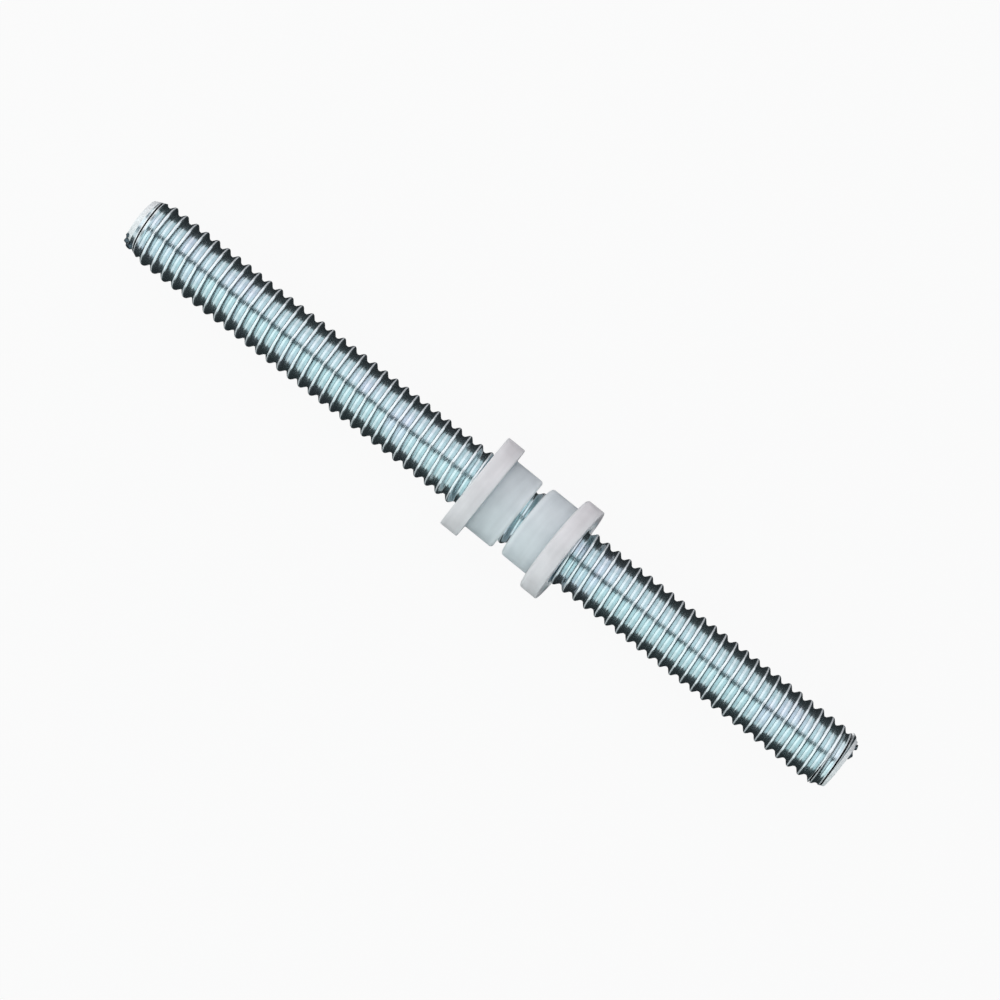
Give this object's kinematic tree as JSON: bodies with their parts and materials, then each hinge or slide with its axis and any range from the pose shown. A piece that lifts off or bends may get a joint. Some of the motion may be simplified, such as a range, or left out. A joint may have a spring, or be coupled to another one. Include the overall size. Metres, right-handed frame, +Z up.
{
  "type": "threaded stud with flanged bushes",
  "caption": "Fully threaded steel stud for a through-glass handle, with loose flanged plastic bushes that line the hole in the glass.",
  "frame": {"origin": "on the surface that the flanges lie on, below the middle of the stud's length", "axes": "+X along the stud, away from the end with the longer bare thread; +Z up; +Y across the stud"},
  "size_m": [0.085, 0.0106, 0.0105],
  "materials": {
    "zinc_plated_steel": "bright zinc plate",
    "natural_plastic": "satin, slightly translucent"
  },
  "bodies": {
    "stud": {"threaded_stud": "zinc_plated_steel"},
    "left_bush": {"left_bush": "natural_plastic"},
    "right_bush": {"right_bush": "natural_plastic"}
  },
  "joints": [
    {"name": "left_bush_slide", "type": "slide", "parent": "stud", "child": "left_bush", "axis": [-1, 0, 0], "range_m": [-0.0002, 0.047]},
    {"name": "right_bush_slide", "type": "slide", "parent": "stud", "child": "right_bush", "axis": [1, 0, 0], "range_m": [-0.0002, 0.0395]}
  ]
}
